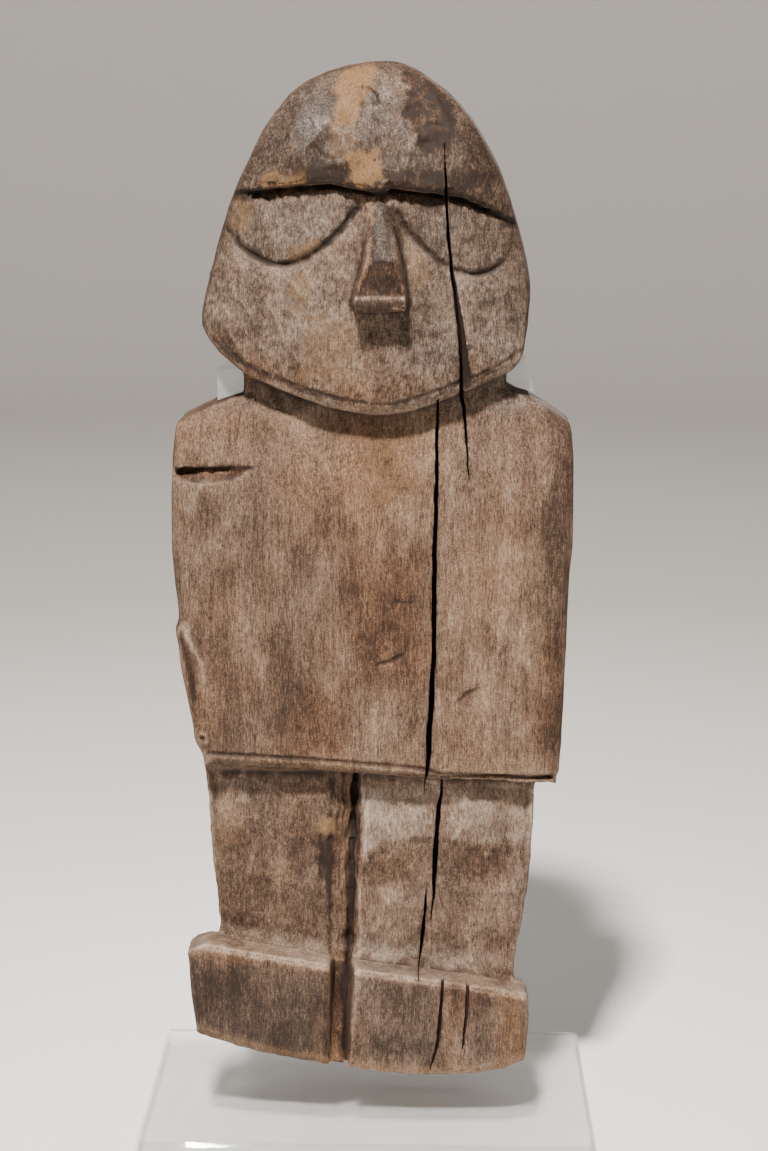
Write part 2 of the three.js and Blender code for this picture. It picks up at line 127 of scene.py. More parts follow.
# Where the jaw's face turns under, where the feet's tops begin, and the fine steps above the hem.
JAW_LINE = [(-77, 375), (-64, 363.5), (-46, 355.5), (-19, 346.5), (-2, 343.5), (14, 343.7), (46, 354),
            (62, 361), (73, 368)]
FEET_LINE = [(-90.6, 68.5), (-45, 62), (0, 55), (40, 49.5), (80.6, 42.5)]
HEM_LINES = [
    [(-80, 166.3), (-66.5, 165.7), (-37, 164.4), (-14, 163), (26.5, 159.7), (31, 158)],
    [(33, 157.2), (56, 155.8), (92, 153.2)],
]

# Small cuts, as (line, depth, width). The first ones have gone dark.
DARK_NICKS = [
    ([(3.9, 212.8), (10.8, 214.4), (17.2, 218)], 1.1, 0.7),
    ([(45.1, 193.8), (48.6, 197.9), (54.5, 201)], 0.9, 0.6),
    ([(13.2, 245.7), (21.5, 243.8)], 0.5, 0.6),
    ([(27.9, 468), (25.6, 466.3), (24.6, 469), (24.2, 473)], 0.6, 0.5),
    ([(26, 474), (30, 476), (35, 475), (36, 468)], 0.5, 0.5),
]
NICKS = [
    *DARK_NICKS,
    ([(-50, 470), (-46, 474), (-40, 473)], 0.3, 0.7),
    ([(-24, 462), (-18, 459), (-12, 460)], 0.3, 0.7),
    (ARM_FOLD, 0.9, 0.6),
    *((line, 0.6, 0.5) for line in NOSE_FOOT),
]

# Broken or dug-out places, as (outline, depth, blur).
CHIPS = [
    ([(16.8, 503), (16.4, 489.2), (18.4, 475.2), (26.5, 463.5), (34, 466), (33, 482.3), (28, 500)], 1.5, 4),
    ([(-6.9, 491.4), (-1.7, 493.3), (4, 490.5), (5, 484.9), (-1.7, 484)], 1.6, 1),
    (NOSE_TIP, 0.9, 1.6),
    ([(-24.3, 120.5), (-26.1, 110.2), (-23.4, 99), (-18.9, 110.3), (-17.1, 119.6)], 2.2, 1.8),
    (SHOULDER_CUT, 2.0, 0.9),
    ([(-94, 302), (-84, 301), (-86, 291), (-93, 290)], 0.8, 1.5),
    ([(-52, 441), (-46, 443.5), (-43, 440.5), (-46, 438)], 1.2, 0.8),
]

# Where the colour differs, as (outline, blur, wobble, amounts).
AREAS = [
    # Ochre paint left on the head and chest.
    ([(-8.8, 463.4), (4.8, 462.5), (5.8, 449), (-1.7, 445), (-9.8, 448.4)], 1.2, 2.5, {"ochre": 1.2}),
    ([(-11.7, 503), (4, 507), (1.1, 491.5), (-9.4, 475.5), (-16.5, 474.5), (-15.1, 491.5)], 2.5, 3,
     {"ochre": 1.3}),
    ([(-19, 477), (-8, 477), (-8, 461), (-19, 459)], 3, 5, {"ochre": 0.28}),
    ([(-52, 452), (-30, 453), (-30, 446), (-52, 445)], 1.5, 3, {"ochre": 0.6}),
    ([(-40, 403), (-30, 404), (-27, 392), (-38, 388)], 3, 4, {"ochre": 0.45}),
    ([(-40, 416), (-24, 421), (-22, 417), (-38, 410)], 1.2, 2, {"ochre": 0.6, "tone": 0.2}),
    ([(-66, 440), (-56, 439), (-58, 424), (-68, 428)], 3, 4, {"ochre": 0.4}),
    ([(18, 424), (26, 414), (30, 400), (20, 400)], 3, 3, {"ochre": 0.3}),
    ([(-30, 386), (-10, 386), (-6, 350), (-34, 354)], 4, 4, {"ochre": 0.3}),
    ([(-6, 328), (26, 330), (24, 300), (-6, 296)], 10, 10, {"ochre": 0.3, "grey": -0.5}),
    # The dark patch at the crown.
    ([(16.8, 503), (16.4, 489.2), (18.4, 475.2), (26.5, 463.5), (38, 463), (40, 480), (30, 500)], 2.5, 3,
     {"tone": -1.55, "grey": -1.35, "less_dirt_and_shade": 0.5}),
    ([(17, 502), (30, 500), (35, 474), (24, 470), (20, 486)], 2, 9, {"tone": 0.75}),
    ([(24, 492), (34, 482), (32, 470), (24, 474)], 2, 8, {"tone": 0.35}),
    # The nose, the brow, an eye, the shoulder cut, and small places lower down.
    (NOSE_TIP, 1.0, 1.2, {"tone": -1.15, "grey": -1.2, "less_dirt_and_shade": 0.3}),
    # Painted shadow under the nose's lip.
    ([(-9, 394), (20, 394.5), (20, 387), (-9, 387)], 0.8, 1, {"tone": -1.5, "grey": -0.8}),
    (NOSE_RIDGE, 0.8, 1, {"tone": -1.0, "grey": 0.6, "polish": 0.6}),
    # A painted highlight on the nose's lit left side, with some ochre.
    (NOSE_SIDE, 0.8, 1, {"tone": 0.45, "ochre": 0.25}),
    # The band under the brow is painted darker: partly its own brown, partly painted shade under the
    # forehead.
    (BROW_BAND, 0.8, 1, {"tone": -0.7, "grey": -1.1, "less_dirt_and_shade": 0.35}),
    ([*EYES[0], (-12, 444), (-66, 440)], 2, 2, {"tone": -0.25, "grey": 0.5}),
    (SHOULDER_CUT, 0.8, 1, {"tone": -0.55, "grey": -1.0, "less_dirt_and_shade": 0.8}),
    ([(-95, 303), (-82, 302), (-84, 290), (-94, 288)], 2, 3, {"tone": 0.5, "grey": 0.5}),
    ([(-26, 122), (-17, 121), (-17, 106), (-22, 97), (-27, 106)], 2.2, 3, {"tone": -1.0, "grey": -0.4}),
    ([(-24, 131), (-16, 130), (-16, 122), (-24, 121)], 1.5, 4, {"ochre": 0.7, "tone": 0.6}),
    # Darker parts of the head.
    ([(-36, 457), (-8, 457), (-10, 447), (-36, 447)], 2.5, 4, {"tone": -1.0, "grey": -0.6}),
    ([(8, 455), (50, 452), (50, 443), (8, 446)], 1.5, 3, {"tone": -0.9, "grey": -0.4}),
    ([(-95, 512), (95, 512), (95, 448), (-95, 448)], 3, 3, {"tone": -0.4}),
    ([(-70, 470), (-20, 500), (-14, 450), (-70, 445)], 8, 6, {"tone": -0.4}),
    # Painted shade down the head's right side, which is turned from the light: the forehead, the cheek and
    # round the eye.
    ([(42, 505), (80, 505), (84, 425), (48, 440)], 6, 3, {"tone": -0.85, "grey": -0.1}),
    ([(42, 440), (86, 440), (88, 380), (48, 370)], 8, 3, {"tone": -0.3, "grey": 0.1}),
    ([(18, 440), (44, 440), (44, 410), (26, 414)], 3, 3, {"tone": -0.35, "grey": 0.2}),
    # The left leg and the feet.
    ([(-84, 156), (-20, 156), (-20, 60), (-84, 66)], 5, 4, {"tone": -0.4}),
    ([(-92, 50), (82, 50), (82, -5), (-92, -5)], 5, 2, {"tone": -0.45}),
    ([(-92, 60), (-22, 54), (-22, -5), (-92, -5)], 4, 3, {"tone": -0.6, "grey": 0.9}),
    ([(-4, 50), (80, 42), (80, -5), (-6, -5)], 4, 3, {"tone": 0.1, "grey": -0.1}),
    ([(-6, 52), (36, 48), (34, 4), (-8, 6)], 3, 3, {"tone": -0.25, "grey": 0.9}),
    ([(52, 44), (66, 42), (64, 6), (50, 6)], 3, 3, {"tone": -0.2, "grey": 0.8}),
    ([(2, 22), (30, 18), (30, 10), (0, 12)], 3, 4, {"tone": -0.7, "grey": 0.4}),
    ([(66, 40), (80, 38), (80, 6), (70, 6)], 3, 4, {"ochre": 0.2, "tone": 0.1}),
    ([(-30, 30), (-20, 30), (-20, 6), (-32, 8)], 3, 5, {"ochre": 0.15, "tone": 0.2}),
    # Painted light along the feet's tops, which face up into the light.
    ([(-88, 76), (80, 56), (80, 48), (-92, 68)], 3, 4, {"tone": 0.45, "grey": 0.5, "less_dirt_and_shade": 0.7}),
    # The body and the legs.
    ([(-84, 232), (-30, 215), (-30, 165), (-84, 165)], 14, 6, {"tone": -0.3}),
    ([(-12, 260), (24, 262), (30, 205), (-6, 200)], 9, 8, {"tone": -0.45, "grey": -0.9}),
    ([(-34, 200), (-14, 200), (-12, 166), (-34, 168)], 6, 6, {"tone": -0.3, "grey": -0.7}),
    ([(36, 330), (96, 325), (92, 180), (36, 170)], 14, 6, {"tone": 0.2, "grey": 0.2}),
    # Painted shade along the body's right edge, which turns away from the light.
    ([(70, 300), (94, 300), (92, 170), (78, 170)], 9, 6, {"tone": -0.3, "grey": -0.2}),
    ([(88, 336), (102, 336), (98, 156), (87, 156)], 4, 3, {"tone": -0.6}),
    # Painted light on the up-facing tops of the legs' tool cuts, and painted shade below their lower edges.
    ([(-4.2, 143.3), (28.6, 145.2), (28.7, 123.2), (13.5, 118.8), (-3.2, 112.4)], 7, 8,
     {"tone": 0.6, "grey": 0.6}),
    ([(37.7, 143.7), (76.5, 141.4), (74.3, 116.7), (37.8, 122.3)], 7, 8, {"tone": 0.45, "grey": 0.5}),
    ([(-2, 112), (28, 117), (72, 113), (70, 100), (0, 94)], 3, 4, {"tone": -0.5, "grey": -0.3}),
    ([(-78, 142), (-66, 142), (-62, 118), (-76, 116)], 4, 4, {"tone": 0.35, "ochre": 0.2}),
    # Polished places on the head.
    ([(-45, 490), (10, 496), (14, 470), (22, 456), (-45, 456)], 7, 6, {"polish": 0.6, "grey": 0.2}),
    ([(-2, 494), (12, 490), (26, 455), (8, 450), (4, 470)], 5, 4, {"polish": 0.5, "grey": 0.4}),
    ([(-28, 480), (-6, 470), (-8, 452), (-30, 452)], 5, 4, {"polish": 0.9, "grey": 0.3}),
    ([(-34, 440), (-6, 438), (-12, 424), (-30, 416)], 4, 3, {"polish": 1, "grey": 0.3}),
    ([(16, 436), (34, 436), (34, 414), (26, 420)], 4, 3, {"polish": 0.9, "grey": 0.3}),
    ([(-50, 402), (-14, 408), (-16, 376), (-40, 376)], 7, 4, {"polish": 0.6, "grey": 0.2}),
    # The jaw and the chin.
    # Painted shade under the left of the jaw.
    ([(-95, 372), (-62, 378), (-50, 352), (-80, 350)], 7, 4, {"tone": -0.5, "grey": -0.4}),
    ([(-60, 366), (0, 352), (58, 366), (58, 356), (0, 342), (-60, 354)], 4, 4, {"tone": -0.35, "grey": -0.8}),
    ([(16, 384), (40, 384), (40, 360), (20, 356)], 5, 4, {"tone": -0.35, "grey": 0.4}),
]

# Lines of another colour, as (line, width, amounts).
STREAKS = [
    # Painted shadow under the forehead's edge, thicker at the left.
    ([(x, z - 0.7) for x, z, _ in BROW_LINE], 1.1, {"tone": -2.4}),
    ([(-70, 441), (-45, 445), (-17, 447)], 1.8, {"tone": -0.6}),
    (EYES[0], 0.8, {"tone": -1.5}),
    (EYES[0][3:], 1.0, {"tone": -1.0}),
    (EYES[1], 0.7, {"tone": -0.7}),
    *((line, 0.4, {"tone": -0.8}) for line in NOSE_FOOT),
    # A painted highlight along the nose's lip.
    ([(-7, 394.3), (17.5, 394.6)], 0.6, {"tone": 1.1, "grey": 0.6}),
    (JAW_LINE, 0.6, {"tone": -1.2}),
    ([(x, z - 3.4) for x, z in JAW_LINE], 1.9, {"grey": -0.3, "less_dirt_and_shade": 0.3}),
    (SPLINTER, 0.5, {"tone": 0.6}),
    # Painted shade along the shoulder cut's upper edge, where its upper wall faces down.
    ([(-95, 307.6), (-82, 309), (-66, 309.6), (-57, 310.2)], 0.6, {"tone": -1.4}),
    # The arm's edge is painted paler, partly wear and partly a painted highlight where it is lit, and the
    # strip outside it darker as painted shade.
    (ARM_EDGE, 1.3, {"tone": 0.9, "grey": 0.4}),
    (ARM_SHADE, 1.3, {"tone": -1.4, "grey": -0.5}),
    *((line, 0.7, {"tone": -1.0}) for line, _, _ in DARK_NICKS),
    (SPLIT, 4.5, {"tone": -0.15, "grey": -0.8, "less_dirt_and_shade": 0.45}),
    # Painted shade in the slit and along the left leg's edge where it steps back into the strip, and painted
    # highlights along the edge of the slit's right wall.
    (SLIT, 1.5, {"tone": -2.0, "less_dirt_and_shade": -0.8}),
    ([(-18.6, 155), (-19.8, 100), (-20, 56), (-20.8, 28), (-21.4, 0)], 0.9, {"tone": -1.3}),
    ([(-1.3, 150), (-2.2, 118), (-4, 99), (-4.3, 62)], 0.8, {"tone": 0.9}),
    ([(-4.2, 56), (-6.5, 30), (-8.8, 2)], 0.8, {"tone": 0.8}),
    *((line, 0.7, {"tone": -1.0}) for line in HEM_LINES),
    *(([(x, z - 3) for x, z in line], 1.6, {"tone": -0.2}) for line in HEM_LINES),
    # Painted shade along the hem's lower edge, where it turns under.
    ([(34, 153.2), (60, 151.6), (92, 149.6)], 1.3, {"tone": -1.0}),
    ([(-80, 159.5), (-40, 157.5), (0, 156), (30, 154)], 1.3, {"tone": -0.8}),
    ([(-86, 23), (-60, 15), (-34, 10), (-11, 6.5), (15, 3), (34, 2.3), (58, 3.6), (78, 9)], 1.6,
     {"tone": 0.7, "ochre": 0.3}),
    # A painted highlight along the feet's top front edge.
    ([(-90, 67), (-45, 60.5), (0, 53.5), (40, 48), (80, 41)], 0.7, {"tone": 1.0}),
    # Painted shade along the lower edges of the legs' tool cuts.
    ([(-5.7, 101), (3.4, 112), (16.1, 117.5), (31, 120)], 1.2, {"tone": -0.8}),
    ([(36, 120), (56.6, 115), (74.4, 114)], 1.2, {"tone": -0.6}),
]

# How fine the figure's even mesh is, in millimetres, and how many triangles are left of it.
VOXEL = 0.85
FACES = 186_000

# ---- Patterns, curves and distances, worked out for many points at once ----


def lattice(cells, seed):
    """A fixed number from 0 to 1 for each row of whole numbers."""
    keys = cells.astype(np.int64)
    h = keys[:, 0] * 374761393 + keys[:, 1] * 668265263 + keys[:, 2] * 1442695041 + seed * 974634777
    h = ((h & 0xFFFFFFFF) ^ ((h & 0xFFFFFFFF) >> 13)) * 1274126177
    h &= 0xFFFFFFFF
    return ((h ^ (h >> 16)) & 0xFFFFFF) / 0xFFFFFF


def noise(points, size, seed):
    """Smooth noise from -1 to 1 with lumps of the given size along x, y and z."""
    scaled = points / np.array(size, float)
    cell = np.floor(scaled)
    part = scaled - cell
    part = part * part * (3 - 2 * part)
    total = np.zeros(len(points))
    for corner in product((0, 1), repeat=3):
        weight = np.prod(np.where(corner, part, 1 - part), axis=1)
        total += weight * lattice(cell + corner, seed)
    return 2 * total - 1


def scoops(u, v, seed):
    """Shallow tool marks over a plane: -1 in the middle of each, near 0 on the ridges between."""
    cell = np.stack([np.floor(u), np.floor(v), np.zeros_like(u)], 1)
    nearest = np.full(len(u), 9.0)
    for step in product((-1, 0, 1), repeat=2):
        other = cell + (*step, 0)
        dx = other[:, 0] + 0.15 + 0.7 * lattice(other, seed) - u
        dy = other[:, 1] + 0.15 + 0.7 * lattice(other, seed + 1) - v
        nearest = np.minimum(nearest, dx * dx + dy * dy)
    return np.minimum(nearest / 0.55, 1) - 1


def ease(value, low, high):
    """0 up to low, 1 from high on, smooth between. low may be the greater."""
    t = np.clip((value - low) / (high - low), 0, 1)
    return t * t * (3 - 2 * t)


def bell(distance, width):
    return np.exp(-0.5 * (distance / width) ** 2)


def smoothed(points):
    """A line of points with a smooth curve's points put in between."""
    steps = 6
    points = np.array(points, float)
    ends = np.concatenate([[2 * points[0] - points[1]], points, [2 * points[-1] - points[-2]]])
    t = np.arange(steps)[:, None] / steps
    made = []
    for a, b, c, d in zip(ends, ends[1:], ends[2:], ends[3:]):
        made.append(b + 0.5 * t * (c - a + t * (2 * a - 5 * b + 4 * c - d + t * (3 * (b - c) + d - a))))
    return np.concatenate([*made, points[-1:]])


REACH = 14  # beyond this distance a line is only said to be far


def along(x, z, line):
    """How far each point is from a line of (x, z), the share of the line passed, and the side, left as +."""
    line = np.array([point[:2] for point in line], float)
    low, high = line.min(0) - REACH, line.max(0) + REACH
    near = np.flatnonzero((x > low[0]) & (x < high[0]) & (z > low[1]) & (z < high[1]))
    best, passed, side = np.full(len(near), 1e3), np.zeros(len(near)), np.zeros(len(near))
    lengths = np.hypot(*np.diff(line, axis=0).T)
    walked = 0.0
    for start, end, length in zip(line, line[1:], lengths):
        step = end - start
        px, pz = x[near] - start[0], z[near] - start[1]
        t = np.clip((px * step[0] + pz * step[1]) / length**2, 0, 1)
        distance = np.hypot(px - t * step[0], pz - t * step[1])
        closer = distance < best
        best = np.where(closer, distance, best)
        passed = np.where(closer, walked + t * length, passed)
        side = np.where(closer, np.sign(step[0] * pz - step[1] * px), side)
        walked += length
    result = np.full(len(x), 1e3), np.zeros(len(x)), np.ones(len(x))
    for whole, part in zip(result, (best, passed / walked, side)):
        whole[near] = part
    return result


def inside(x, z, outline, blur):
    """1 within an outline of (x, z) corners, 0 outside it, over a soft edge."""
    outline = np.array(outline, float)
    count = np.zeros(len(x), int)
    for (x0, z0), (x1, z1) in zip(outline, np.roll(outline, -1, 0)):
        if z0 != z1:
            crosses = (z0 > z) != (z1 > z)
            count += crosses & (x < x0 + (z - z0) * (x1 - x0) / (z1 - z0))
    edge = along(x, z, [*outline, outline[0]])[0]
    return ease(np.where(count % 2, edge, -edge), -blur, blur)


# ---- Meshes ----


def settle(obj):
    """Applies the object's modifiers."""
    graph = bpy.context.evaluated_depsgraph_get()
    mesh = bpy.data.meshes.new_from_object(obj.evaluated_get(graph))
    obj.modifiers.clear()
    old, obj.data = obj.data, mesh
    mesh.name = obj.name
    bpy.data.meshes.remove(old)


def modify(obj, kind, **settings):
    modifier = obj.modifiers.new(kind.lower(), kind)
    for name, value in settings.items():
        setattr(modifier, name, value)
    settle(obj)


def link(name, mesh):
    obj = bpy.data.objects.new(name, mesh)
    bpy.context.collection.objects.link(obj)
    return obj


def drop(obj):
    mesh = obj.data
    bpy.data.objects.remove(obj)
    bpy.data.meshes.remove(mesh)


def combine(obj, other, operation):
    modify(obj, "BOOLEAN", object=other, operation=operation, solver="MANIFOLD")


def ladder(rows, front, back):
    """A solid between rows of (left x, right x, z), from one depth to another, in metres."""
    vertices = [
        (x * MM, y * MM, (z + FIGURE_Z) * MM)
        for left, right, z in rows for x, y in ((left, front), (right, front), (right, back), (left, back))
    ]
    last = 4 * (len(rows) - 1)
    faces = [(0, 1, 2, 3), (last + 3, last + 2, last + 1, last)]
    for start in range(0, last, 4):
        for k in range(4):
            a, b = start + k, start + (k + 1) % 4
            faces.append((a, a + 4, b + 4, b))
    mesh = bpy.data.meshes.new("ladder")
    mesh.from_pydata(vertices, [], faces)
    return link("ladder", mesh)


def positions(mesh):
    co = np.empty(len(mesh.vertices) * 3)
    mesh.vertices.foreach_get("co", co)
    points = co.reshape(-1, 3) / MM
    points[:, 2] -= FIGURE_Z
    return points


def place(mesh, points):
    moved = points.copy()
    moved[:, 2] += FIGURE_Z
    mesh.vertices.foreach_set("co", (moved * MM).ravel())
    mesh.update()


def normals(mesh):
    values = np.empty(len(mesh.vertices) * 3)
    mesh.vertex_normals.foreach_get("vector", values)
    return values.reshape(-1, 3)


SHARE = 0.6  # how far smoothing moves a value towards its neighbours' mean in each round


class Neighbours:
    """Averages over each vertex's neighbours."""

    def __init__(self, mesh):
        ends = np.empty(len(mesh.edges) * 2, np.int64)
        mesh.edges.foreach_get("vertices", ends)
        a, b = ends.reshape(-1, 2).T
        self.to, self.of = np.concatenate([a, b]), np.concatenate([b, a])
        self.count = np.maximum(np.bincount(self.to, minlength=len(mesh.vertices)), 1)

    def mean(self, values):
        columns = values.reshape(len(values), -1).T
        sums = [np.bincount(self.to, column[self.of], len(self.count)) for column in columns]
        return (np.array(sums) / self.count).T.reshape(values.shape)

    def smooth(self, values, rounds):
        for _ in range(rounds):
            values = values + SHARE * (self.mean(values) - values)
        return values


# ---- The figure's mesh ----


def closed_figure():
    """A copy of the figure's solid with its cracks filled, so that they can be cut again finely."""
    margin, beyond, deeper, shift = 1.3, 6, 3, 8
    obj = link("carved_figure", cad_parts["figure"].data.copy())
    modify(obj, "WELD", merge_threshold=1e-6)
    whole = link("whole", obj.data.copy())
    for crack in CRACKS:
        rows = [(x - w / 2 - margin, x + w / 2 + margin, z) for x, z, w in crack["line"]]
        rows = [(*rows[0][:2], rows[0][2] + beyond), *rows, (*rows[-1][:2], rows[-1][2] - beyond)]
        plug = ladder(rows, -DEEP, crack["to"] + deeper)
        aside = link("aside", whole.data.copy())
        aside.data.transform(Matrix.Translation(Vector((-shift, shift * crack["lean"], 0)) * MM))
        combine(plug, aside, "INTERSECT")
        combine(obj, plug, "UNION")
        drop(plug)
        drop(aside)
    drop(whole)
    return obj


def soften(mesh):
    """Evens out flat facets, and leaves edges as if worn a little."""
    around = Neighbours(mesh)
    points = around.smooth(positions(mesh), 4)
    bend = np.linalg.norm(around.smooth(points, 12) - points, axis=1)
    flat = 1 - ease(around.smooth(bend, 4), 0.16, 0.5)
    for _ in range(45):
        points += SHARE * flat[:, None] * (around.mean(points) - points)
    place(mesh, points)


class Skin:
    """The points of the figure's surface, and how much each is in front and on each part."""

    def __init__(self, mesh):
        self.points, self.turned = positions(mesh), normals(mesh)
        self.x, self.y, self.z = self.points.T
        self.front = ease(-self.turned[:, 1], 0.25, 0.75)
        self.height = self.z - np.interp(self.x, *np.array(FEET_LINE).T)  # over the feet's tops
        above_hem, above_feet = ease(self.z, HEM - 2, HEM + 2), ease(self.height, 1, 9)
        self.head = ease(self.z, JAW - 4, JAW + 4)
        self.body = above_hem * (1 - self.head)
        self.legs = above_feet * (1 - above_hem)
        self.feet = 1 - above_feet

    def noise(self, across, up, seed):
        return noise(self.points, (across, across, up), seed)

    def along(self, line):
        return along(self.x, self.z, line)

    def inside(self, outline, blur, wobble=0, seed=90):
        """How far within an outline each point is, with the outline made ragged by wobble."""
        dx, dz = (wobble * self.noise(4, 4, seed + k) for k in range(2)) if wobble else (0, 0)
        return inside(self.x + dx, self.z + dz, outline, blur) * self.front

    def stroke(self, line, width, wobble=0.0):
        """A line that tapers at both ends."""
        distance, passed, _ = self.along(line)
        taper = ease(passed, 0, 0.12) * ease(passed, 1, 0.88)
        return bell(distance + wobble * self.noise(3, 3, 80), width) * taper * self.front


def tool_marks(s):
    """Cuts left by the adze and knife, as a rise or fall of the surface."""

    def strokes(slant, wide, tall, seed):
        """Marks whose strokes lean over to the right at the bottom by slant degrees."""
        turn = radians(slant)
        u, v = s.x * cos(turn) + s.z * sin(turn), s.z * cos(turn) - s.x * sin(turn)
        return scoops(u / wide, v / tall, seed)

    temple = s.head * ease(s.z, BROW + 2, BROW + 12) * ease(s.x, 10, -16)
    cheek = s.head * ease(s.z, 425, 400) * ease(s.x, -14, -40)
    rest = s.head * (1 - temple) * (1 - cheek) * (1 - 0.4 * ease(s.x, 20, 45))
    facing = 0.35 + 0.65 * s.front
    out = 1.8 * temple * strokes(-30, 14, 24, 11) + 1.7 * cheek * strokes(34, 8, 28, 12)
    out += 1.2 * rest * strokes(8, 16, 20, 13) + 0.5 * s.head * strokes(20, 5.5, 8, 17)
    out *= facing
    out += 2.4 * s.legs * facing * strokes(-14, 17, 21, 14) + 0.6 * s.legs * strokes(10, 6, 9, 18)
    out += 1.3 * s.feet * facing * strokes(0, 11, 36, 15) * ease(-s.height, 1, 8)
    return out + 0.7 * s.body * strokes(4, 26, 44, 16)


def weathering(s):
    """Slow swells, and ridges of harder grain."""
    swells = 0.5 * s.noise(28, 36, 1) + 0.34 * s.noise(9, 15, 2)
    out = (0.4 + 0.6 * s.front) * swells + 1.1 * (1 - s.front)
    out += 0.2 * s.noise(3.0, 34, 3) * (1 - 0.5 * s.head) + 0.12 * s.noise(2.4, 5, 4)
    split = bell(s.along(SPLIT)[0], 5) * s.front
    return out + split * (0.6 * s.noise(1.8, 26, 5) + 0.5 * s.noise(3.5, 40, 6))


def brow_cut(s):
    """How far the cut under the forehead goes in, and how far the forehead's ragged edge is lifted."""
    distance, _, side = s.along([(x, z) for x, z, _ in BROW_LINE])
    below = -side * distance
    push = (1.5 + 0.7 * s.noise(4, 4, 28)) * bell(below - 1.0, 1.0)
    edge = bell(below + 1.2, 1.7) * s.front
    return push, edge * (0.9 * s.noise(2.6, 3, 23) + 0.5 * s.noise(8, 8, 24))


def arm(s):
    """How far the worn arm stands out to the front, and to the side at its top."""
    out = 1.8 * s.stroke(ARM_EDGE, 1.6) - 1.0 * s.stroke(ARM_SHADE, 1.4)
    reach = np.hypot(s.x - KNOB[0], s.z - KNOB[1])
    out += (1.4 * bell(reach - 2.6, 0.9) - 0.8 * bell(reach, 1.2)) * s.front
    return out, 1.6 * bell(s.z - 228, 3.2) * ease(s.x, -87, -93)


def marks(s):
    """How far the front is pushed in by the eyes' grooves, chips, nicks and the worn ends of forms."""
    push = np.zeros(len(s.x))
    for eye in EYES:
        line = smoothed(eye)
        distance, passed, _ = s.along(line)
        depth = (1.5 + 0.6 * s.noise(5, 5, 21)) * ease(passed, 0, 0.1) * ease(passed, 1, 0.9)
        push += depth * bell(distance + 0.4 * s.noise(3, 3, 22), 1.05)
        push -= 0.7 * s.inside([*eye, (eye[-1][0], 442), (eye[0][0], 442)], 5)
    for line, depth, width in NICKS:
        push += depth * s.stroke(line, width, 0.3)
    for outline, depth, blur in CHIPS:
        push += depth * s.inside(outline, blur, 1.5) * (0.75 + 0.45 * s.noise(3.5, 5, 25))
    for line in HEM_LINES:
        distance, _, side = s.along(line)
        push += 0.9 * bell(distance, 0.7) - 0.5 * ease(-side * distance, 0, 1.5) * (distance < 9)
    push -= 0.8 * s.stroke(SPLINTER, 0.6)
    push += 0.6 * bell(s.along(smoothed(JAW_LINE))[0], 0.7)
    push += 2.2 * s.legs * ease(s.z, 117, 146)
    return push * s.front


def carve(mesh):
    s = Skin(mesh)
    push, lift = brow_cut(s)
    out, aside = arm(s)
    moved = s.points + s.turned * (tool_marks(s) + weathering(s))[:, None]
    moved[:, 0] -= aside
    moved[:, 1] += marks(s) - out + push * ease(-s.turned[:, 1], 0.05, 0.4)
    top = s.along(smoothed(FEET_LINE))[0]
    ragged = bell(top, 2.5) * s.front * s.noise(2.8, 3, 26)
    sole = ease(s.z, 16, 4) * s.front * s.noise(3.2, 3, 27)
    corner = ease(s.x, -80, -92) * ease(s.z, 50, 62) * (1 - ease(s.height, 3, 8))
    moved[:, 2] += lift + 1.1 * ragged + 0.5 * sole - 4.5 * corner
    low, high = (np.array(corner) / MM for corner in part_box("figure"))
    moved = np.clip(moved, low - (0, 0, FIGURE_Z), high - (0, 0, FIGURE_Z + 0.02))
    place(mesh, moved)


def cut_cracks(obj):
    for seed, crack in enumerate(CRACKS):
        line = np.array(crack["line"])[::-1]
        heights = np.arange(line[-1, 1], line[0, 1], -2.2)
        spots = np.stack([np.zeros_like(heights), np.zeros_like(heights), heights], 1)
        middle = np.interp(heights, line[:, 1], line[:, 0]) + 0.3 * noise(spots, (2, 2, 9), 30 + seed)
        half = np.interp(heights, line[:, 1], line[:, 2]) / 2
        left = middle - half + 0.2 * noise(spots, (2, 2, 4), 40 + seed)
        right = np.maximum(middle + half + 0.2 * noise(spots, (2, 2, 4), 50 + seed), left + 0.25)
        cutter = ladder(list(zip(left, right, heights)), -DEEP, crack["to"])
        # The cracks' insides are painted fully dark: dirt and painted shade in the gaps.
        for name, value in (("dirt_and_shade", 1), ("worn", 0), ("known", 1)):
            write(cutter.data, name, np.full(4 * len(heights), value))
        combine(obj, cutter, "DIFFERENCE")
        drop(cutter)


def carved_figure():
    obj = closed_figure()
    modify(obj, "REMESH", mode="VOXEL", voxel_size=VOXEL * MM)
    soften(obj.data)
    carve(obj.data)
    dirt_wear_and_shade(obj.data)
    modify(obj, "DECIMATE", ratio=FACES / (2 * len(obj.data.polygons)))
    cut_cracks(obj)
    fill_unknown(obj.data)
    paint(obj.data)
    obj.data.shade_smooth()
    return obj


# ---- Colour fields, kept on the mesh ----


def change(mesh, name, values):
    mesh.attributes[name].data.foreach_set("value", values.astype(np.float32))


def write(mesh, name, values):
    mesh.attributes.new(name, "FLOAT", "POINT")
    change(mesh, name, values)


def read(mesh, name):
    values = np.empty(len(mesh.vertices), np.float32)
    mesh.attributes[name].data.foreach_get("value", values)
    return values.astype(float)


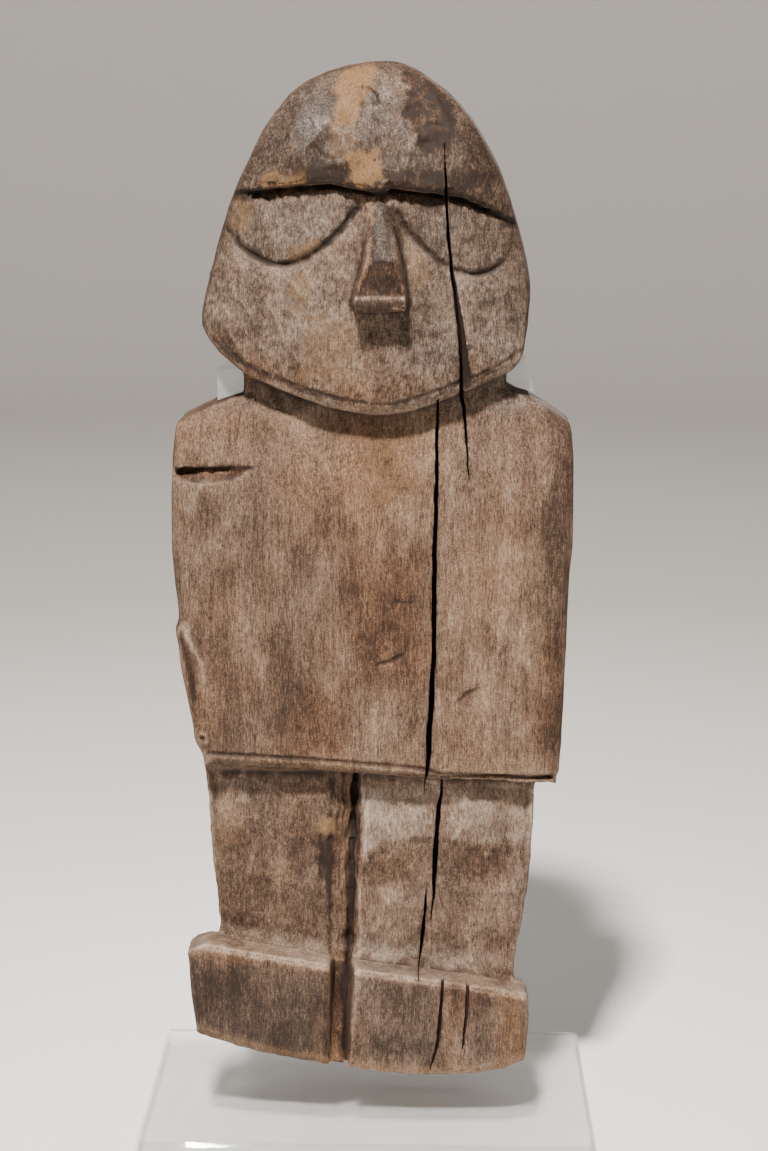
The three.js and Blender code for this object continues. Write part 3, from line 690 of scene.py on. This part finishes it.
def dirt_wear_and_shade(mesh):
    """Writes how much dirt and painted shade each point gathers in the surface's hollows, and how worn it is,
    from the surface's bends.
    """
    around, points, turned = Neighbours(mesh), positions(mesh), normals(mesh)
    depths = []
    eased = points
    for rounds in (6, 30, 120):
        eased = around.smooth(eased, rounds)
        depths.append(((eased - points) * turned).sum(1))
    near, wide, broad = depths
    # Darker the deeper a point lies in a hollow, at three sizes of hollow: dirt and painted shade.
    dirt_and_shade = 0.5 * ease(near, 0.03, 0.3) + 0.3 * ease(wide, 0.15, 1.1) + 0.35 * ease(broad, 0.5, 2.6)
    write(mesh, "dirt_and_shade", around.smooth(dirt_and_shade, 2))
    write(mesh, "worn", 0.7 * ease(-near, 0.04, 0.3) + 0.5 * ease(-wide, 0.2, 1.2))
    write(mesh, "known", np.ones(len(points)))


def fill_unknown(mesh):
    """Gives the points on the cracks' rims the mean of what their neighbours have."""
    around = Neighbours(mesh)
    known = read(mesh, "known")
    rim = known < 0.5
    for name in ("dirt_and_shade", "worn"):
        values = read(mesh, name)
        mean = around.mean(values * known) / np.maximum(around.mean(known), 1e-6)
        change(mesh, name, np.where(rim, mean, values))
    mesh.attributes.remove(mesh.attributes["known"])


def paint(mesh):
    s = Skin(mesh)
    fields = {name: np.zeros(len(s.x)) for name in ("tone", "grey", "ochre", "polish", "even", "less_dirt_and_shade")}
    for number, (outline, blur, wobble, amounts) in enumerate(AREAS):
        share = s.inside(outline, blur, wobble, 100 + 2 * number)
        for name, amount in amounts.items():
            fields[name] += amount * share
    for line, width, amounts in STREAKS:
        share = bell(s.along(smoothed(line))[0] + 0.8 * s.noise(3, 3, 85), width) * s.front
        for name, amount in amounts.items():
            fields[name] += amount * share
    broad = 0.22 * s.noise(40, 55, 71) + 0.3 * s.noise(11, 32, 72) + 0.2 * s.noise(5, 15, 75)
    fields["tone"] += (1 - 0.4 * s.head) * broad - 0.2 * s.head
    # Painted shade on every surface turned away from the front, such as the sides and the edges.
    fields["tone"] -= 0.6 * (1 - s.front)
    fields["tone"] += 0.3 * s.feet * s.noise(4, 40, 76) + 0.2 * s.head * s.noise(4, 5, 77)
    # Painted light on the feet's tops, where they face up into the light.
    painted_light_on_feet_tops = ease(s.turned[:, 2], 0.35, 0.75) * ease(s.z, 90, 76)  # the feet's tops
    fields["tone"] += 0.9 * painted_light_on_feet_tops
    fields["grey"] += 0.4 * painted_light_on_feet_tops
    fields["even"] += s.head + 0.6 * s.legs + 0.3 * s.feet
    fields["grey"] += 0.45 * s.noise(32, 50, 73) + 0.3 * s.noise(10, 20, 74)
    fields["grey"] += 0.9 * s.head * s.front + 0.35 * s.legs * s.front + 0.25 * (1 - s.front)
    # The dirt and painted shade of the hollows, lessened where the fields say.
    dirt_and_shade = read(mesh, "dirt_and_shade") * (1 - np.clip(fields.pop("less_dirt_and_shade"), 0, 1))
    change(mesh, "dirt_and_shade", dirt_and_shade)
    for name, values in fields.items():
        write(mesh, name, values)


# ---- Materials ----


def linear(red, green, blue):
    """A colour given as it looks, from 0 to 255 each, as the shader takes it."""
    return (*(pow(c / 255, 2.2) for c in (red, green, blue)), 1)


class Nodes:
    """A material's nodes. An input is given as a value or as another node's output."""

    def __init__(self, name):
        self.material = bpy.data.materials.new(name)
        self.material.use_nodes = True
        self.tree = self.material.node_tree
        self.shader = next(n for n in self.tree.nodes if n.type == "BSDF_PRINCIPLED")

    def put(self, socket, value):
        if isinstance(value, bpy.types.NodeSocket):
            self.tree.links.new(value, socket)
        else:
            socket.default_value = value

    def add(self, kind, inputs=(), **settings):
        node = self.tree.nodes.new(kind)
        for name, value in settings.items():
            setattr(node, name, value)
        for key, value in dict(inputs).items():
            self.put(node.inputs[key], value)
        return node

    def math(self, operation, a, b=0.0, clamp=False):
        return self.add("ShaderNodeMath", {0: a, 1: b}, operation=operation, use_clamp=clamp).outputs[0]

    def total(self, *parts):
        """The sum of (value, factor) pairs."""
        products = [self.math("MULTIPLY", value, factor) for value, factor in parts]
        result = products[0]
        for other in products[1:]:
            result = self.math("ADD", result, other)
        return result

    def blend(self, share, a, b):
        """From number a to number b by a share."""
        return self.add("ShaderNodeMix", {0: share, 2: a, 3: b}, data_type="FLOAT").outputs[0]

    def mix(self, share, a, b):
        """From colour a to colour b by a share."""
        node = self.add("ShaderNodeMix", data_type="RGBA", clamp_factor=True)
        for index, value in ((0, share), (6, a), (7, b)):
            self.put(node.inputs[index], value)
        return node.outputs[2]

    def field(self, name):
        return self.add("ShaderNodeAttribute", attribute_name=name).outputs["Fac"]

    def place(self, scale):
        """The object's coordinates in millimetres, times a scale along each axis."""
        where = self.add("ShaderNodeTexCoord").outputs["Object"]
        return self.add("ShaderNodeVectorMath", {0: where, 1: [s / MM for s in scale]},
                        operation="MULTIPLY").outputs[0]

    def noise(self, across, up, detail=3, roughness=0.55, distortion=0.0):
        return self.add("ShaderNodeTexNoise", {
            "Vector": self.place((1 / across, 1 / across, 1 / up)), "Scale": 1.0, "Detail": detail,
            "Roughness": roughness, "Distortion": distortion}).outputs[0]

    def range(self, value, low, high, to_low=0.0, to_high=1.0):
        return self.add("ShaderNodeMapRange", {0: value, 1: low, 2: high, 3: to_low, 4: to_high}).outputs[0]

    def ramp(self, value, stops):
        node = self.add("ShaderNodeValToRGB", {0: value})
        elements = node.color_ramp.elements
        while len(elements) < len(stops):
            elements.new(1)
        for element, (at, colour) in zip(elements, stops):
            element.position, element.color = at, linear(*colour)
        return node.outputs[0]

    def bump(self, height, distance, strength):
        node = self.add("ShaderNodeBump", {"Height": height, "Distance": distance * MM, "Strength": strength})
        return node.outputs[0]


def wood_tone(n, grain, pores):
    """How pale the wood is."""
    strength = n.range(n.field("even"), 0, 1, 0.78, 0.86)
    blotch = n.noise(16, 22, 5, 0.65)
    value = n.total((n.range(grain, 0.37, 0.63), strength), (n.range(blotch, 0.3, 0.7), 0.3),
                    (n.field("tone"), 0.3), (n.field("worn"), 0.15), (n.range(pores, 0.56, 0.68), -0.2))
    return n.math("SUBTRACT", value, 0.09, True)


def wood_colour(n, value, fuzz):
    """Warm or grey wood, with ochre paint over it, and dirt and painted shade darkening its hollows and
    cracks.
    """
    warm = n.ramp(value, [(0, (36, 23, 14)), (0.25, (71, 49, 34)), (0.5, (104, 79, 60)),
                          (0.75, (133, 108, 87)), (1, (160, 138, 118))])
    cool = n.ramp(value, [(0, (40, 31, 24)), (0.25, (72, 59, 49)), (0.5, (103, 89, 79)),
                          (0.75, (131, 118, 107)), (1, (158, 147, 138))])
    colour = n.mix(n.range(n.field("grey"), -0.6, 1.5), warm, cool)
    speck = n.range(n.noise(2.2, 2.6, 3), 0.31, 0.45)
    ochre = n.mix(n.range(fuzz, 0.35, 0.65), linear(94, 67, 41), linear(129, 99, 66))
    colour = n.mix(n.math("MULTIPLY", n.field("ochre"), speck), colour, ochre)
    dirt_and_shade_share = n.math("MULTIPLY", n.field("dirt_and_shade"), n.range(fuzz, 0.3, 0.7, 0.8, 1.1))
    return n.mix(dirt_and_shade_share, colour, linear(33, 22, 14))


def old_wood():
    """Dry wood: fibres and streaks where it is stringy, and fibres and lumps where it is evener."""
    n = Nodes("old_wood")
    fibres, fuzz = n.noise(0.75, 3.6, 4, 0.7), n.noise(0.62, 0.8, 4, 0.7)
    streaks, lumps = n.noise(2.2, 26, 4, 0.65, 0.4), n.noise(2.6, 3.0, 4, 0.7)
    stringy = n.total((fibres, 0.4), (streaks, 0.2), (fuzz, 0.4))
    lumpy = n.total((fibres, 0.36), (lumps, 0.3), (fuzz, 0.34))
    grain = n.blend(n.field("even"), stringy, lumpy)
    value = wood_tone(n, grain, pores=n.noise(0.5, 7, 2, 0.5))
    n.put(n.shader.inputs["Base Color"], wood_colour(n, value, fuzz))
    dull = n.range(grain, 0.35, 0.65, 0.66, 0.86)
    polish = n.math("MULTIPLY", n.field("polish"), n.range(fuzz, 0.4, 0.6))
    n.put(n.shader.inputs["Roughness"], n.math("SUBTRACT", dull, n.math("MULTIPLY", polish, 0.46)))
    height = n.total((fibres, 0.4), (fuzz, 0.35), (lumps, 0.5))
    n.put(n.shader.inputs["Normal"], n.bump(height, 0.5, 0.75))
    n.shader.inputs["Specular IOR Level"].default_value = 0.33
    return n.material


def clear_acrylic(name, alpha, clear):
    """Polished acrylic. The blocks are a little hazy, and about half the light passes the sheets unbent."""
    n = Nodes(name)
    haze = n.noise(35, 35, 2)
    n.put(n.shader.inputs["Base Color"], n.ramp(haze, [(0.3, (246, 249, 248)), (0.7, (253, 254, 254))]))
    n.shader.inputs["Roughness"].default_value = 0.02
    n.shader.inputs["IOR"].default_value = 1.49
    n.shader.inputs["Transmission Weight"].default_value = clear
    n.shader.inputs["Alpha"].default_value = alpha
    n.put(n.shader.inputs["Normal"], n.bump(n.noise(1.1, 18, 2), 0.02, 0.1))
    return n.material


def floor_with_painted_light_pool():
    """White near the stand and greyer far from it, out to the wall: a painted pool of light round the stand.
    """
    n = Nodes("floor_with_painted_light_pool")
    far = n.add("ShaderNodeVectorMath", {0: n.place((1, 1, 1))}, operation="LENGTH").outputs["Value"]
    cloud = n.total((far, 1), (n.noise(300, 300, 2), 60))
    n.put(n.shader.inputs["Base Color"], n.ramp(n.range(cloud, 220, 1400), [
        (0, (250, 249, 247)), (0.3, (226, 223, 219)), (1, (190, 186, 181))]))
    n.shader.inputs["Roughness"].default_value = 0.7
    return n.material


def dress(obj, material):
    obj.data.materials.clear()
    obj.data.materials.append(material)


# ---- The stage ----


def floor():
    """A round pale floor that curves up into a wall, wider than any view of the figure."""
    cove, height, steps, around = 1.0, 3.2, 12, 96
    below = 0.0006  # the floor lies a hair under the plate
    profile = [(0.3, 0.0), (1.2, 0.0), (WALL - cove, 0.0)]
    for step in range(1, steps + 1):
        turn = radians(90 * step / steps)
        profile.append((WALL - cove + cove * sin(turn), cove * (1 - cos(turn))))
    profile.append((WALL, height))
    angles = [radians(360 * k / around) for k in range(around)]
    vertices = [(reach * cos(a), reach * sin(a), z - below) for reach, z in profile for a in angles]
    faces = [tuple(range(around))]
    for ring, k in product(range(len(profile) - 1), range(around)):
        a, b = ring * around + k, ring * around + (k + 1) % around
        faces.append((a, a + around, b + around, b))
    mesh = bpy.data.meshes.new("floor")
    mesh.from_pydata(vertices, [], faces)
    obj = link("floor", mesh)
    mesh.shade_smooth()
    dress(obj, floor_with_painted_light_pool())


def camera():
    """In front of the figure and level with its forehead, looking slightly down."""
    data = bpy.data.cameras.new("camera")
    data.lens, data.sensor_width = 70, 36
    data.clip_start = 0.05
    obj = bpy.data.objects.new("camera", data)
    bpy.context.collection.objects.link(obj)
    eye = (0.0258, -1.1143, 0.4968)
    yaw, pitch, roll = radians(0.96), radians(90 - 10.8), radians(0.17)
    turn = Matrix.Rotation(yaw, 4, "Z") @ Matrix.Rotation(pitch, 4, "X") @ Matrix.Rotation(roll, 4, "Z")
    obj.matrix_world = Matrix.Translation(eye) @ turn
    bpy.context.scene.camera = obj


def hang(data, place_at, aim):
    obj = bpy.data.objects.new(data.name, data)
    bpy.context.collection.objects.link(obj)
    direction = Vector(aim) - Vector(place_at)
    obj.matrix_world = Matrix.Translation(place_at) @ direction.to_track_quat("-Z", "Y").to_matrix().to_4x4()


def lamp(name, place_at, aim, power, size, colour):
    data = bpy.data.lights.new(name, "AREA")
    data.energy, data.size, data.color = power, size, colour
    hang(data, place_at, aim)


def beam(name, place_at, aim, power, angle):
    """A soft-edged spotlight, that many degrees wide."""
    data = bpy.data.lights.new(name, "SPOT")
    data.energy, data.color = power, (1.0, 0.96, 0.92)
    data.spot_size, data.spot_blend, data.shadow_soft_size = radians(angle), 0.5, 0.15
    hang(data, place_at, aim)


def lights():
    """A warm key high in front, a weak fill at the left, a beam from behind, and lamps on the wall."""
    aim = (0, 0, 0.25)
    lamp("key", (-0.25, -1.2, 2.15), aim, 150, 0.2, (1.0, 0.95, 0.89))
    lamp("fill", (-1.8, -1.2, 0.8), aim, 1, 0.6, (1.0, 0.96, 0.92))
    beam("back", (0.7, 1.9, 1.0), (0, 0, 0.36), 70, 15)
    for k, power in enumerate((7, 56, 7, 7)):
        x, y = round(cos(radians(90 * k)), 6), round(sin(radians(90 * k)), 6)
        lamp(f"wall_{k}", (0.9 * x, 0.9 * y, 2.7), (WALL * x, WALL * y, 0.8), power, 1.2, (1.0, 0.97, 0.94))
    world = bpy.data.worlds.new("world")
    bpy.context.scene.world = world
    world.use_nodes = True
    background = next(n for n in world.node_tree.nodes if n.type == "BACKGROUND")
    background.inputs["Color"].default_value = (0.9, 0.87, 0.84, 1)
    background.inputs["Strength"].default_value = 0.02


camera()
figure = carved_figure()
dress(figure, old_wood())
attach(figure, "root")
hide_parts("figure")
sheet, block = clear_acrylic("clear_sheet", 0.45, 1.0), clear_acrylic("clear_block", 0.9, 0.82)
for node, acrylic in (("upright", sheet), ("base_plate", sheet), ("left_clip", block), ("right_clip", block)):
    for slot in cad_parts[node].material_slots:
        slot.material = acrylic
floor()
lights()
